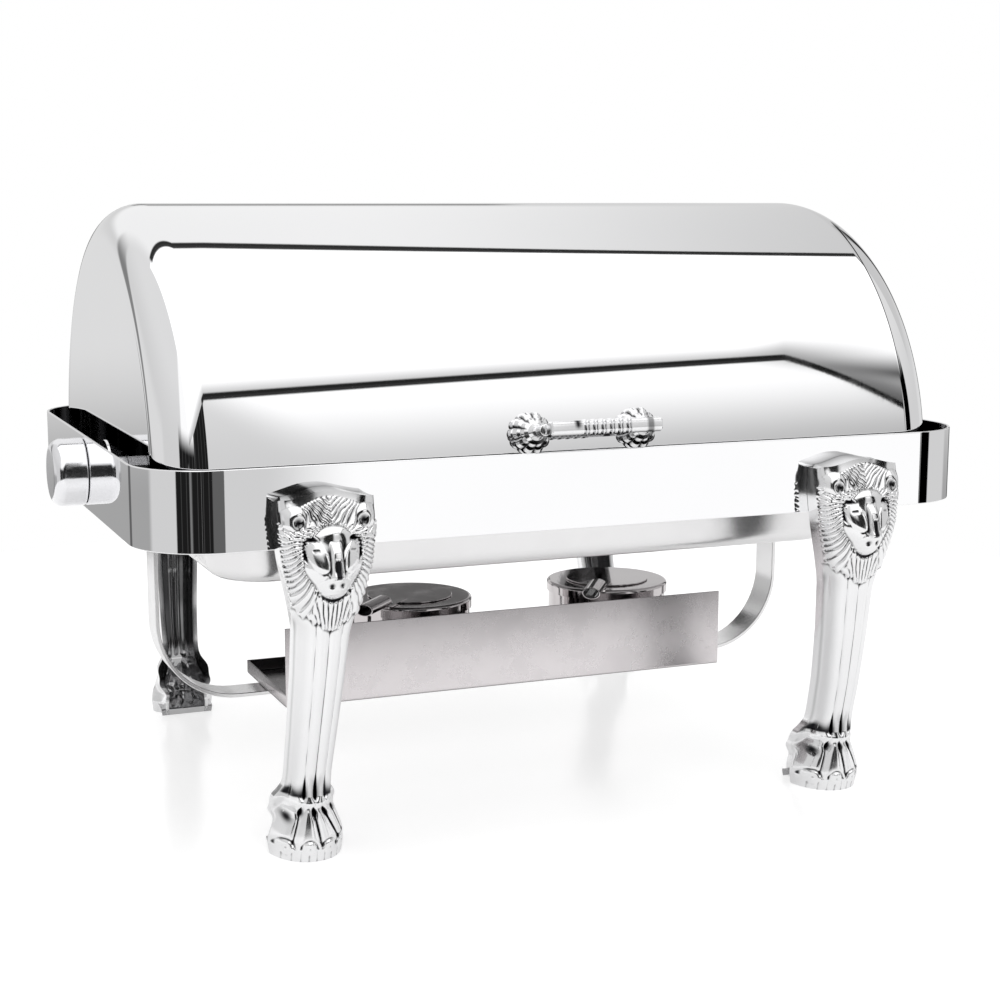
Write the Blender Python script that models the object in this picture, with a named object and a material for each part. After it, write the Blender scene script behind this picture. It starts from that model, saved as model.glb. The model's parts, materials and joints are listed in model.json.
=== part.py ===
"""Roll-top chafing dish food warmer, full gastronorm size.

Metres, +Z up. The origin is on the floor, midway between the legs. -Y is the front (the handle's side)
and +X is the right-hand end. The lid turns about the line y = 0, z = PIVOT_Z.
"""
import math

import bmesh
import bpy
from mathutils import Matrix, Vector

MM = 0.001
GAP = 0.3 * MM                      # left between pieces that touch

# Frame band
BAND_HALF_X = 309 * MM
BAND_HALF_Y = 213.5 * MM
BAND_RADIUS = 52 * MM
BAND_BOTTOM = 210 * MM
BAND_TOP = 263 * MM
BAND_WALL = 2 * MM

# Lid and the axis it rolls about
PIVOT_Z = (BAND_BOTTOM + BAND_TOP) / 2
LID_RADIUS = 191 * MM
LID_HALF_X = 292.5 * MM
LID_EDGE_RADIUS = 31 * MM
LID_SHEET = 1 * MM
LID_ARC_STEPS = 26
LID_EDGE_STEPS = 5
HUB_RADIUS = 22 * MM
HUB_INNER_X = 290.2 * MM
HUB_OUTER_X = 293.6 * MM

# Pivot pieces, from the knob inwards
KNOB_RADIUS = 24.5 * MM
KNOB_END_X = 333 * MM
STUD_RADIUS = 4 * MM
STUD_INNER_X = 272 * MM
STUD_OUTER_X = 326 * MM
SPACER_RADIUS = 9 * MM
WASHER_RADIUS = 11 * MM
WASHER_THICK = 2 * MM
BRACKET_SHEET = 2 * MM
STRAP_THICK = 3 * MM
NUT_THICK = 6.5 * MM
NUT_FLATS = 13 * MM

# Legs: height, half width, back face and front face at that height
LEG_X = 196 * MM
LEG_SPLAY = 5 * MM
LEG_BACK = BAND_HALF_Y + GAP
LEG_STATIONS = (
    (0, 26.5, 167, 211),
    (4, 28, 166, 214),
    (14, 27.5, 166, 214),
    (28, 21.5, 171, 212),
    (40, 16, 179, 209.5),
    (52, 15, 185, 210),
    (85, 16, 194.5, 219),
    (125, 17.5, 203, 228),
    (160, 19, 208, 234),
    (180, 24.5, 211.5, 237),
    (205, 30.5, 213.8, 240),
    (225, 33, 213.8, 238),
    (252, 33, 213.8, 232),
)
LEG_TOP = 252 * MM
LEG_CORNER_DROP = 6 * MM
LEG_WALL = 4 * MM
NOSE_Z = 193 * MM
NOSE_OUT = 13.5 * MM
BOLT_Z = 232 * MM
BOLT_APART = 36 * MM
BOLT_RADIUS = 3 * MM
BOLT_HEAD_RADIUS = 5 * MM
BOLT_HEAD_THICK = 4 * MM
BOLT_REACH = 12 * MM
BOSS_RADIUS = 7.5 * MM

# Handle, in the plane at HANDLE_ANGLE above the pivot axis
HANDLE_ANGLE = math.radians(11)
HANDLE_REACH = 30 * MM
HANDLE_BAR_RADIUS = 7 * MM
HANDLE_BAR_HALF = 45 * MM
POST_X = 38 * MM
POST_RADIUS = 5 * MM
ROSETTE_RADIUS = 15 * MM
SCREW_RADIUS = 2 * MM

# Pans
WATER_PAN = dict(rim=(278, 176), body=(258, 155.5), floor=(250, 148.5), top=249.2, bottom=173.5)
FOOD_PAN = dict(rim=(265, 162.5), body=(250, 147.5), floor=(240, 137.5), top=250.3, bottom=184.5)
PAN_SHEET = 0.8 * MM
PAN_CORNER = 40 * MM
PAN_FILLET = 12 * MM

# Hanging strap, tray and burners
STRAP_WIDTH = 26 * MM
STRAP_X = 261 * MM
STRAP_BOTTOM = 60 * MM
STRAP_BEND = 60 * MM
TRAY_HALF_X = 179 * MM
TRAY_FRONT = -66 * MM
TRAY_BACK = 45 * MM
TRAY_PANEL_TOP = 122.5 * MM
TRAY_LIP = 10 * MM
TRAY_SHEET = 1 * MM
CUP_X = {"left": -62 * MM, "right": 108 * MM}
CUP_Y = -8 * MM
CUP_RADIUS = 47 * MM
CUP_TOP = 124 * MM
COVER_RADIUS = 48.5 * MM
COVER_TOP = 127 * MM
COVER_LIP = 8 * MM
COVER_HOLE = 20 * MM
DAMPER_RADIUS = 33 * MM
DAMPER_SHEET = 1 * MM
DAMPER_PIVOT = 40 * MM
DAMPER_REACH = 85 * MM
DAMPER_TUBE = 5 * MM
DAMPER_NECK = 9 * MM
DAMPER_ANGLES = {"left": math.radians(43), "right": math.radians(34)}
RIVET_RADIUS = 1.8 * MM

SIDES = {"left": -1, "right": 1}


def clear_scene():
    for obj in list(bpy.data.objects):
        bpy.data.objects.remove(obj, do_unlink=True)


def material(name, colour, roughness, metallic=1.0):
    mat = bpy.data.materials.new(name)
    mat.use_nodes = True
    shader = mat.node_tree.nodes["Principled BSDF"]
    shader.inputs["Base Color"].default_value = (*colour, 1.0)
    shader.inputs["Roughness"].default_value = roughness
    shader.inputs["Metallic"].default_value = metallic
    mat.diffuse_color = (*colour, 1.0)
    return mat


def add_object(name, bm, mat, smooth=True):
    """Make one closed, outward-facing object from bm."""
    bmesh.ops.remove_doubles(bm, verts=bm.verts, dist=1e-6)
    bmesh.ops.recalc_face_normals(bm, faces=bm.faces)
    mesh = bpy.data.meshes.new(name)
    bm.to_mesh(mesh)
    bm.free()
    if smooth:
        mesh.shade_smooth()
        mesh.set_sharp_from_angle(angle=math.radians(35))
    if mat:
        mesh.materials.append(mat)
    obj = bpy.data.objects.new(name, mesh)
    bpy.context.collection.objects.link(obj)
    return obj


def boolean(target, tool, operation="DIFFERENCE"):
    """Cut or join tool into target, and keep tool as a hidden wire."""
    tool.hide_render = True
    tool.display_type = "WIRE"
    mod = target.modifiers.new(tool.name, "BOOLEAN")
    mod.operation = operation
    mod.solver = "EXACT"
    mod.object = tool


def skin_loops(loops, cap_ends=True):
    """A bmesh whose faces join each loop of points to the next one."""
    bm = bmesh.new()
    rings = [[bm.verts.new(p) for p in loop] for loop in loops]
    count = len(rings[0])
    for low, high in zip(rings, rings[1:]):
        for i in range(count):
            j = (i + 1) % count
            bm.faces.new((low[i], low[j], high[j], high[i]))
    if cap_ends:
        bm.faces.new(reversed(rings[0]))
        bm.faces.new(rings[-1])
    else:
        for i in range(count):
            j = (i + 1) % count
            bm.faces.new((rings[-1][i], rings[-1][j], rings[0][j], rings[0][i]))
    return bm


def turned(name, profile, mat, segments=24, along="Z", at=(0, 0, 0)):
    """Turn (radius, height) points about an axis. A profile that touches the axis at both ends is
    solid there; any other profile closes on itself as a ring."""
    solid = profile[0][0] == 0 and profile[-1][0] == 0
    inner = profile[1:-1] if solid else profile
    loops = []
    for radius, height in inner:
        turn = [2 * math.pi * i / segments for i in range(segments)]
        loops.append([(radius * math.cos(t), radius * math.sin(t), height) for t in turn])
    bm = skin_loops(loops, cap_ends=solid)
    if along == "X":
        bmesh.ops.rotate(bm, verts=bm.verts, matrix=Matrix.Rotation(math.pi / 2, 3, "Y"))
    elif along == "Y":
        bmesh.ops.rotate(bm, verts=bm.verts, matrix=Matrix.Rotation(-math.pi / 2, 3, "X"))
    obj = add_object(name, bm, mat)
    obj.location = at
    return obj


def rod(name, radius, low, high, mat=None, segments=12, along="X", at=(0, 0, 0)):
    return turned(name, [(0, low), (radius, low), (radius, high), (0, high)], mat, segments, along, at)


def tube(name, inner, outer, low, high, mat=None, segments=16, along="X", at=(0, 0, 0)):
    profile = [(inner, low), (outer, low), (outer, high), (inner, high)]
    return turned(name, profile, mat, segments, along, at)


def rounded_rectangle(half_x, half_y, radius, z, steps=5):
    """Points of a rounded rectangle at height z, the same number for any size."""
    points = []
    corners = ((1, 1, 0), (-1, 1, 90), (-1, -1, 180), (1, -1, 270))
    for sx, sy, start in corners:
        for i in range(steps + 1):
            angle = math.radians(start + 90 * i / steps)
            x = sx * (half_x - radius) + radius * math.cos(angle)
            y = sy * (half_y - radius) + radius * math.sin(angle)
            points.append((x, y, z))
    return points


def extruded(name, outline, low, high, mat, smooth=False):
    """Extrude an (x, z) outline along Y from low to high."""
    loops = [[(x, y, z) for x, z in outline] for y in (low, high)]
    return add_object(name, skin_loops(loops), mat, smooth)


# ---- frame and legs -----------------------------------------------------------------------------

def make_band(mat):
    """The band, with the pivot holes and the leg bolts' holes."""
    inner = (BAND_HALF_X - BAND_WALL, BAND_HALF_Y - BAND_WALL, BAND_RADIUS - BAND_WALL)
    outer = (BAND_HALF_X, BAND_HALF_Y, BAND_RADIUS)
    order = ((outer, BAND_BOTTOM), (outer, BAND_TOP), (inner, BAND_TOP), (inner, BAND_BOTTOM))
    loops = [rounded_rectangle(*size, z, steps=7) for size, z in order]
    band = add_object("frame_band", skin_loops(loops, cap_ends=False), mat)
    hole = STUD_RADIUS + GAP
    boolean(band, rod("cut_pivot_holes", hole, -BAND_HALF_X * 1.1, BAND_HALF_X * 1.1, at=(0, 0, PIVOT_Z)))
    for x in bolt_places():
        name = "cut_bolt_holes_%d" % round(x / MM)
        reach = BAND_HALF_Y * 1.1
        boolean(band, rod(name, BOLT_RADIUS + GAP, -reach, reach, along="Y", at=(x, 0, BOLT_Z)))
    return band


def bolt_places():
    return [s * LEG_X + t * BOLT_APART / 2 for s in (-1, 1) for t in (-1, 1)]


def leg_section(z):
    """Half width, back and front of the casting at height z, read off the stations."""
    height = min(max(z / MM, LEG_STATIONS[0][0]), LEG_STATIONS[-1][0])
    for low, high in zip(LEG_STATIONS, LEG_STATIONS[1:]):
        if height <= high[0]:
            t = (height - low[0]) / (high[0] - low[0])
            t = t * t * (3 - 2 * t)
            return [(a + (b - a) * t) * MM for a, b in zip(low[1:], high[1:])]
    return [value * MM for value in LEG_STATIONS[-1][1:]]


def splay(z):
    """How far the leg has moved outwards at height z."""
    t = min(max((190 * MM - z) / (150 * MM), 0), 1)
    return LEG_SPLAY * t * t * (3 - 2 * t)


def bump(u, z, centre_u, centre_z, size_u, size_z):
    return math.exp(-((u - centre_u) / size_u) ** 2 - ((z - centre_z) / size_z) ** 2)


def lion_relief(u, z):
    """Height of the lion's face over the casting: brow, muzzle, ears, mane edge, and the paw's toes.
    u runs from -1 to 1 across the leg, z is in millimetres."""
    height = NOSE_OUT / MM * bump(u, z, 0, NOSE_Z / MM, 0.42, 13)
    height += 5 * bump(u, z, 0, 215, 0.55, 9)
    height += 3 * bump(abs(u), z, 0.72, 234, 0.2, 8)
    height -= 3 * bump(abs(u), z, 0.42, 206, 0.14, 5)
    if z < 26:
        height += 1.5 * math.cos(4 * math.pi * u) * math.sin(math.pi * z / 26)
    elif z < 150:
        fade = min((z - 26) / 20, (150 - z) / 10, 1)
        height -= 1.6 * fade * math.cos(3 * math.pi * u) ** 2
    return height * MM


def leg_loops(inset=0.0, rows=28, columns=12, low=0.0, high=LEG_TOP, back=0.0, relief=True):
    """Closed outlines up the leg: a squarish front and a flat back."""
    loops = []
    for row in range(rows + 1):
        z = low + (high - low) * row / rows
        half, rear, front = leg_section(z)
        half -= inset
        depth = front - inset - rear
        loop = []
        for col in range(columns + 1):
            angle = math.pi * (1 - col / columns)
            across = math.copysign(abs(math.cos(angle)) ** 0.75, math.cos(angle))
            out = math.sin(angle) ** 0.62
            lift = lion_relief(across, z / MM) * out if relief else 0.0
            top = z - LEG_CORNER_DROP * across ** 2 * (z / LEG_TOP) ** 8
            loop.append((half * across, -(rear + depth * out + lift), top))
        loop[0] = (loop[0][0], -rear + back, loop[0][2])
        loop[-1] = (loop[-1][0], -rear + back, loop[-1][2])
        loops.append(loop)
    return loops


def shift_by_splay(loops, side):
    return [[(side * (LEG_X + splay(z)) + x, y, z) for x, y, z in loop] for loop in loops]


def make_leg(name, side, end, mat):
    """One cast leg. side is -1 or 1 along X, end is -1 for the front and 1 for the rear."""
    turn = Matrix.Rotation(math.pi if end > 0 else 0, 4, "Z")
    facing = side if end < 0 else -side
    leg = add_object(name, skin_loops(shift_by_splay(leg_loops(), facing)), mat)
    hollow_loops = leg_loops(LEG_WALL, 10, 6, 34 * MM, LEG_TOP - 9 * MM, 12 * MM, relief=False)
    hollow = add_object("cut_" + name, skin_loops(shift_by_splay(hollow_loops, facing)), None)
    leg.matrix_world = turn
    hollow.matrix_world = turn
    boolean(leg, hollow)
    for t in (-1, 1):
        spot = (side * LEG_X + t * BOLT_APART / 2, end * LEG_BACK, BOLT_Z)
        tag = "%s_%d" % (name, t)
        reach = sorted((-end * 20 * MM, end * 60 * MM))
        boolean(hollow, rod("boss_" + tag, BOSS_RADIUS, *reach, along="Y", at=spot))
        reach = sorted((-end * 5 * MM, end * (BOLT_REACH + GAP)))
        boolean(leg, rod("hole_" + tag, BOLT_RADIUS + GAP, *reach, along="Y", at=spot))
    return leg


def make_leg_bolts(name, side, end, mat):
    """The two bolts of one leg, with their heads inside the band."""
    inside = BAND_HALF_Y - BAND_WALL - GAP
    for t, place in ((-1, "left"), (1, "right")):
        x = side * LEG_X + t * BOLT_APART / 2
        stem_end = LEG_BACK + BOLT_REACH
        profile = [
            (0, inside - BOLT_HEAD_THICK),
            (BOLT_HEAD_RADIUS * 0.8, inside - BOLT_HEAD_THICK),
            (BOLT_HEAD_RADIUS, inside - BOLT_HEAD_THICK * 0.6),
            (BOLT_HEAD_RADIUS, inside),
            (BOLT_RADIUS, inside),
            (BOLT_RADIUS, stem_end),
            (0, stem_end),
        ]
        if end < 0:
            profile = [(r, -y) for r, y in profile]
        turned("%s_bolt_%s" % (name, place), profile, mat, 12, "Y", (x, 0, BOLT_Z))


# ---- lid ----------------------------------------------------------------------------------------

def lid_profile(inset):
    """(x, radius) points of the right half of the lid's skin, from the end wall's centre."""
    edge = LID_EDGE_RADIUS - inset
    centre_x = LID_HALF_X - LID_EDGE_RADIUS
    centre_r = LID_RADIUS - LID_EDGE_RADIUS
    points = [(LID_HALF_X - inset, 0)]
    for i in range(LID_EDGE_STEPS + 1):
        angle = math.radians(90 * i / LID_EDGE_STEPS)
        points.append((centre_x + edge * math.cos(angle), centre_r + edge * math.sin(angle)))
    return points


def lid_skin(inset):
    right = lid_profile(inset)
    return right + [(-x, r) for x, r in reversed(right)]


def make_lid(mat):
    """Half a cylinder with rounded ends: an outer and an inner skin joined along the rim."""
    outer, inner = lid_skin(0), lid_skin(LID_SHEET)
    bm = bmesh.new()
    shells = []
    for skin in (outer, inner):
        poles = {i: bm.verts.new((x, 0, 0)) for i, (x, r) in enumerate(skin) if r == 0}
        rows = []
        for step in range(LID_ARC_STEPS + 1):
            angle = math.pi * step / LID_ARC_STEPS
            row = []
            for i, (x, r) in enumerate(skin):
                spot = (x, -r * math.cos(angle), r * math.sin(angle))
                row.append(poles[i] if i in poles else bm.verts.new(spot))
            rows.append(row)
        shells.append(rows)
    for rows in shells:
        for low, high in zip(rows, rows[1:]):
            for i in range(len(low) - 1):
                corners = [low[i], low[i + 1], high[i + 1], high[i]]
                bm.faces.new(list(dict.fromkeys(corners)))
    for step in (0, -1):
        out_row, in_row = shells[0][step], shells[1][step]
        for i in range(len(out_row) - 1):
            bm.faces.new((out_row[i], out_row[i + 1], in_row[i + 1], in_row[i]))
    lid = add_object("roll_top_lid", bm, mat)
    lid.location = (0, 0, PIVOT_Z)
    for side, sign in SIDES.items():
        reach = sorted((sign * HUB_INNER_X, sign * HUB_OUTER_X))
        boolean(lid, rod("hub_" + side, HUB_RADIUS, *reach, at=lid.location, segments=24), "UNION")
    reach = LID_HALF_X * 1.1
    boolean(lid, rod("cut_lid_pivot", STUD_RADIUS + GAP, -reach, reach, at=lid.location))
    for side, sign in SIDES.items():
        screw_hole = radial_rod("cut_screw_" + side, SCREW_RADIUS + GAP, -20 * MM, 20 * MM)
        screw_hole.location = handle_spot(sign * POST_X, 0)
        boolean(lid, screw_hole)
    return lid


def handle_spot(x, out):
    """The point at x on the handle's line, out metres off the lid's skin."""
    radius = LID_RADIUS + out
    return (x, -radius * math.cos(HANDLE_ANGLE), PIVOT_Z + radius * math.sin(HANDLE_ANGLE))


def point_outwards(obj):
    """Turn an object made along +Z to stand off the lid on the handle's line."""
    obj.rotation_euler = (math.pi / 2 - HANDLE_ANGLE, 0, 0)


def radial_rod(name, radius, low, high):
    obj = rod(name, radius, low, high, along="Z")
    point_outwards(obj)
    return obj


def make_handle(mat, screw_mat):
    """The turned bar, and two castings that are rosette and post in one."""
    beads = [(0, -HANDLE_BAR_HALF), (0.7, -HANDLE_BAR_HALF), (1, -HANDLE_BAR_HALF + 3 * MM)]
    for i in range(5):
        x = (i - 2) * 8 * MM
        beads += [(1, x - 2.6 * MM), (0.8, x - 1.6 * MM), (0.8, x + 1.6 * MM), (1, x + 2.6 * MM)]
    beads += [(1, HANDLE_BAR_HALF - 3 * MM), (0.7, HANDLE_BAR_HALF), (0, HANDLE_BAR_HALF)]
    profile = [(r * HANDLE_BAR_RADIUS, x) for r, x in beads]
    turned("handle_bar", profile, mat, 12, "X", handle_spot(0, HANDLE_REACH))
    for side, sign in SIDES.items():
        spot = handle_spot(sign * POST_X, 0)
        post_profile = [
            (0, -6 * MM), (ROSETTE_RADIUS * 0.9, -6 * MM), (ROSETTE_RADIUS, 2 * MM),
            (ROSETTE_RADIUS * 0.85, 6 * MM), (ROSETTE_RADIUS * 0.5, 9 * MM), (POST_RADIUS, 12 * MM),
            (POST_RADIUS, HANDLE_REACH), (0, HANDLE_REACH),
        ]
        post = turned(side + "_handle_post", post_profile, mat, 16)
        point_outwards(post)
        post.location = spot
        reach = 60 * MM
        saddle = rod("cut_saddle_" + side, HANDLE_BAR_RADIUS + GAP, -reach, reach, segments=12,
                     at=handle_spot(sign * POST_X, HANDLE_REACH))
        skin = rod("cut_foot_" + side, LID_RADIUS + GAP, -reach, reach, segments=144,
                   at=(sign * POST_X, 0, PIVOT_Z))
        hole = radial_rod("cut_post_" + side, SCREW_RADIUS + GAP, -10 * MM, 12 * MM)
        hole.location = spot
        for tool in (saddle, skin, hole):
            boolean(post, tool)
        inside = -LID_SHEET - GAP
        screw = turned(side + "_handle_screw", [
            (0, inside - 4 * MM), (3 * MM, inside - 3.4 * MM), (4.5 * MM, inside - 0.8 * MM),
            (4.5 * MM, inside - 0.2 * MM), (SCREW_RADIUS, inside - 0.2 * MM),
            (SCREW_RADIUS, 11 * MM), (0, 11 * MM),
        ], screw_mat, 12)
        point_outwards(screw)
        screw.location = spot


# ---- pivots and what hangs on them ---------------------------------------------------------------

def make_pivot(side, chrome, steel):
    """Everything on one pivot axis, from the knob cap inwards."""
    spot, sign = (0, 0, PIVOT_Z), SIDES[side]
    bore = STUD_RADIUS + GAP

    def ring(name, outer, low, high, mat, segments=16):
        reach = sorted((sign * low, sign * high))
        return tube(side + name, bore, outer, *reach, mat, segments, at=spot)

    ring("_pivot_spacer", SPACER_RADIUS, HUB_OUTER_X + GAP, BAND_HALF_X - BAND_WALL - GAP, steel)
    washer_x = HUB_INNER_X - GAP
    ring("_pivot_washer", WASHER_RADIUS, washer_x - WASHER_THICK, washer_x, steel)
    rod(side + "_pivot_stud", STUD_RADIUS, *sorted((sign * STUD_INNER_X, sign * STUD_OUTER_X)), steel,
        at=spot)
    nut_x = bracket_x() - BRACKET_SHEET - STRAP_THICK - 2 * GAP
    reach = sorted((sign * (nut_x - NUT_THICK), sign * nut_x))
    nut = rod(side + "_pivot_nut", NUT_FLATS / math.sqrt(3), *reach, steel, 6, at=spot)
    nut.data.shade_flat()
    reach = sorted((sign * STUD_INNER_X * 0.95, sign * BAND_HALF_X))
    boolean(nut, rod("cut_nut_" + side, bore, *reach, at=spot))

    start = BAND_HALF_X + GAP
    round_off = 6 * MM
    cap = [(0, STUD_OUTER_X + GAP), (bore, STUD_OUTER_X + GAP), (bore, start), (KNOB_RADIUS, start)]
    for i in range(4):
        angle = math.radians(90 * i / 3)
        cap.append((KNOB_RADIUS - round_off * (1 - math.cos(angle)),
                    KNOB_END_X - round_off * (1 - math.sin(angle))))
    cap.append((0, KNOB_END_X))
    turned(side + "_knob_cap", [(r, sign * x) for r, x in cap], chrome, 28, "X", spot)


def bracket_x():
    """The outer face of the bracket's upright."""
    return HUB_INNER_X - WASHER_THICK - 2 * GAP


def make_bracket(side, mat):
    """An angle that hangs on the stud and carries one end of the water pan's rim."""
    sign = SIDES[side]
    out = bracket_x()
    inner = out - BRACKET_SHEET
    ledge_top = WATER_PAN["top"] * MM - PAN_SHEET - GAP
    ledge = ledge_top - BRACKET_SHEET
    ledge_end = STRAP_X + 1.5 * MM
    outline = [(out, PIVOT_Z - 20 * MM), (out, ledge_top), (ledge_end, ledge_top), (ledge_end, ledge),
               (inner, ledge), (inner, PIVOT_Z - 20 * MM)]
    bracket = extruded(side + "_end_bracket", [(sign * x, z) for x, z in outline], -95 * MM, 95 * MM, mat)
    boolean(bracket, rod("cut_bracket_" + side, STUD_RADIUS + GAP,
                         *sorted((sign * (inner - 5 * MM), sign * (out + 5 * MM))), at=(0, 0, PIVOT_Z)))


def strap_path():
    """(x, z) centre line of the strap's right half, from the stud down to the middle."""
    top_x = bracket_x() - BRACKET_SHEET - GAP - STRAP_THICK / 2
    points = [(top_x, PIVOT_Z + 8 * MM), (top_x, PIVOT_Z - 13 * MM), (STRAP_X, PIVOT_Z - 31 * MM)]
    centre_x = STRAP_X - STRAP_BEND
    centre_z = STRAP_BOTTOM + STRAP_THICK / 2 + STRAP_BEND
    for i in range(7):
        angle = math.radians(-90 * i / 6)
        points.append((centre_x + STRAP_BEND * math.cos(angle), centre_z + STRAP_BEND * math.sin(angle)))
    return points


def offset_line(points, distance):
    """Move an open line sideways by distance, with mitred corners."""
    moved = []
    for i, point in enumerate(points):
        here = Vector(point)
        before = (here - Vector(points[i - 1])).normalized() if i else None
        after = (Vector(points[i + 1]) - here).normalized() if i < len(points) - 1 else None
        first, second = before or after, after or before
        middle = (first + second).normalized()
        normal = Vector((-middle.y, middle.x))
        stretch = 1 / max(middle.dot(first), 0.5)
        moved.append(tuple(here + normal * distance * stretch))
    return moved


def make_strap(mat):
    """The U that hangs from both studs."""
    right = strap_path()
    line = right + [(-x, z) for x, z in reversed(right)]
    outline = offset_line(line, STRAP_THICK / 2) + list(reversed(offset_line(line, -STRAP_THICK / 2)))
    strap = extruded("hanger_strap", outline, -STRAP_WIDTH / 2, STRAP_WIDTH / 2, mat)
    reach = LID_HALF_X * 1.1
    boolean(strap, rod("cut_strap", STUD_RADIUS + GAP, -reach, reach, at=(0, 0, PIVOT_Z)))


def make_tray(mat):
    """A folded tray with a tall front panel. It stands on the strap."""
    base = STRAP_BOTTOM + STRAP_THICK + GAP
    floor = base + TRAY_SHEET
    size = (2 * TRAY_HALF_X, TRAY_BACK - TRAY_FRONT, TRAY_PANEL_TOP - base)
    bm = bmesh.new()
    bmesh.ops.create_cube(bm, size=1.0)
    bmesh.ops.scale(bm, vec=size, verts=bm.verts)
    middle_y = (TRAY_FRONT + TRAY_BACK) / 2
    bmesh.ops.translate(bm, vec=(0, middle_y, base + size[2] / 2), verts=bm.verts)
    tray = add_object("burner_tray", bm, mat, smooth=False)

    def box_cut(name, low, high):
        cut = bmesh.new()
        bmesh.ops.create_cube(cut, size=1.0)
        bmesh.ops.scale(cut, vec=[b - a for a, b in zip(low, high)], verts=cut.verts)
        bmesh.ops.translate(cut, vec=[(a + b) / 2 for a, b in zip(low, high)], verts=cut.verts)
        boolean(tray, add_object(name, cut, None, smooth=False))

    wall = TRAY_SHEET
    big = 30 * MM
    box_cut("cut_tray_inside", (-TRAY_HALF_X + wall, TRAY_FRONT + wall, floor),
            (TRAY_HALF_X - wall, TRAY_BACK - wall, TRAY_PANEL_TOP + big))
    box_cut("cut_tray_lips", (-TRAY_HALF_X - big, TRAY_FRONT + wall, base + TRAY_LIP),
            (TRAY_HALF_X + big, TRAY_BACK + big, TRAY_PANEL_TOP + big))
    return tray


# ---- pans and burners -----------------------------------------------------------------------------

def make_pan(name, size, mat):
    """A drawn pan: rim, sloping walls and a floor with a rounded edge."""
    top, bottom = size["top"] * MM, size["bottom"] * MM

    def wall_loops(inset, floor_z):
        radius = PAN_FILLET - inset
        loops = []
        for i in range(4):
            angle = math.radians(90 * i / 3)
            pull = radius * (1 - math.sin(angle)) + inset
            z = floor_z + radius * (1 - math.cos(angle))
            half = [value * MM - pull for value in size["floor"]]
            loops.append(rounded_rectangle(*half, PAN_CORNER - pull, z))
        return loops

    rim = [value * MM for value in size["rim"]]
    body = [value * MM for value in size["body"]]
    throat = [value - PAN_SHEET for value in body]
    loops = wall_loops(0, bottom)
    loops.append(rounded_rectangle(*body, PAN_CORNER + 4 * MM, top - PAN_SHEET))
    loops.append(rounded_rectangle(*rim, PAN_CORNER + 16 * MM, top - PAN_SHEET))
    loops.append(rounded_rectangle(*rim, PAN_CORNER + 16 * MM, top))
    loops.append(rounded_rectangle(*throat, PAN_CORNER + 4 * MM - PAN_SHEET, top))
    loops += reversed(wall_loops(PAN_SHEET, bottom + PAN_SHEET))
    return add_object(name, skin_loops(loops), mat)


def make_burner(side, steel, dark):
    """Cup, cover, damper and rivet. The damper swings on its rivet, over the hole in the cover."""
    spot = (CUP_X[side], CUP_Y, 0)
    base = STRAP_BOTTOM + STRAP_THICK + GAP + TRAY_SHEET + GAP
    wall = 1 * MM
    turned(side + "_burner_cup", [
        (0, base), (CUP_RADIUS - 3 * MM, base), (CUP_RADIUS, base + 3 * MM), (CUP_RADIUS, CUP_TOP),
        (CUP_RADIUS - wall, CUP_TOP), (CUP_RADIUS - wall, base + 3.5 * MM),
        (CUP_RADIUS - 3.5 * MM, base + wall), (0, base + wall),
    ], steel, 28, at=spot)

    under = COVER_TOP - wall
    soft = 2.5 * MM
    lip_inner = COVER_RADIUS - wall
    cover = turned(side + "_burner_cover", [
        (COVER_HOLE, under), (COVER_HOLE, COVER_TOP), (COVER_RADIUS - soft, COVER_TOP),
        (COVER_RADIUS - 0.7 * MM, COVER_TOP - 0.7 * MM), (COVER_RADIUS, COVER_TOP - soft),
        (COVER_RADIUS, COVER_TOP - COVER_LIP), (lip_inner, COVER_TOP - COVER_LIP),
        (lip_inner, under - 1.5 * MM), (lip_inner - 1.5 * MM, under),
    ], steel, 28, at=spot)

    angle = DAMPER_ANGLES[side]
    heading = Vector((-math.sin(angle), -math.cos(angle), 0))
    pivot = Vector(spot) + heading * DAMPER_PIVOT
    low = COVER_TOP + GAP
    high = low + DAMPER_SHEET
    disc = turned(side + "_damper", [(0, low), (DAMPER_RADIUS, low), (DAMPER_RADIUS, high), (0, high)],
                  steel, 28)
    disc.data.transform(Matrix.Translation((0, DAMPER_PIVOT, 0)))
    disc.location = pivot
    disc.rotation_euler = (0, 0, -angle)
    half = DAMPER_NECK / 2
    neck = extruded("neck_" + side, [(-half, low), (half, low), (half, high), (-half, high)],
                    -16 * MM, 14 * MM, None)
    start = DAMPER_PIVOT - COVER_RADIUS - 1.5 * MM
    end = DAMPER_PIVOT - DAMPER_REACH
    roll = tube("roll_" + side, DAMPER_TUBE - DAMPER_SHEET, DAMPER_TUBE, end, start, None, 14, "Y")
    roll.data.transform(Matrix.Translation((0, 0, low + DAMPER_TUBE)))
    rivet_hole = rod("cut_rivet_" + side, RIVET_RADIUS + GAP, 0, 2 * COVER_TOP, along="Z")
    for tool in (neck, roll):
        tool.location = pivot
        tool.rotation_euler = (0, 0, -angle)
        boolean(disc, tool, "UNION")
    rivet_hole.location = pivot
    boolean(disc, rivet_hole)
    boolean(cover, rivet_hole)
    top = high + GAP
    turned(side + "_damper_rivet", [
        (0, under - 1.2 * MM), (3 * MM, under - 1 * MM), (3 * MM, under - GAP), (RIVET_RADIUS, under - GAP),
        (RIVET_RADIUS, top), (3.2 * MM, top), (2.6 * MM, top + 1 * MM), (0, top + 1.3 * MM),
    ], dark, 10, at=(pivot.x, pivot.y, 0))


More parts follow.
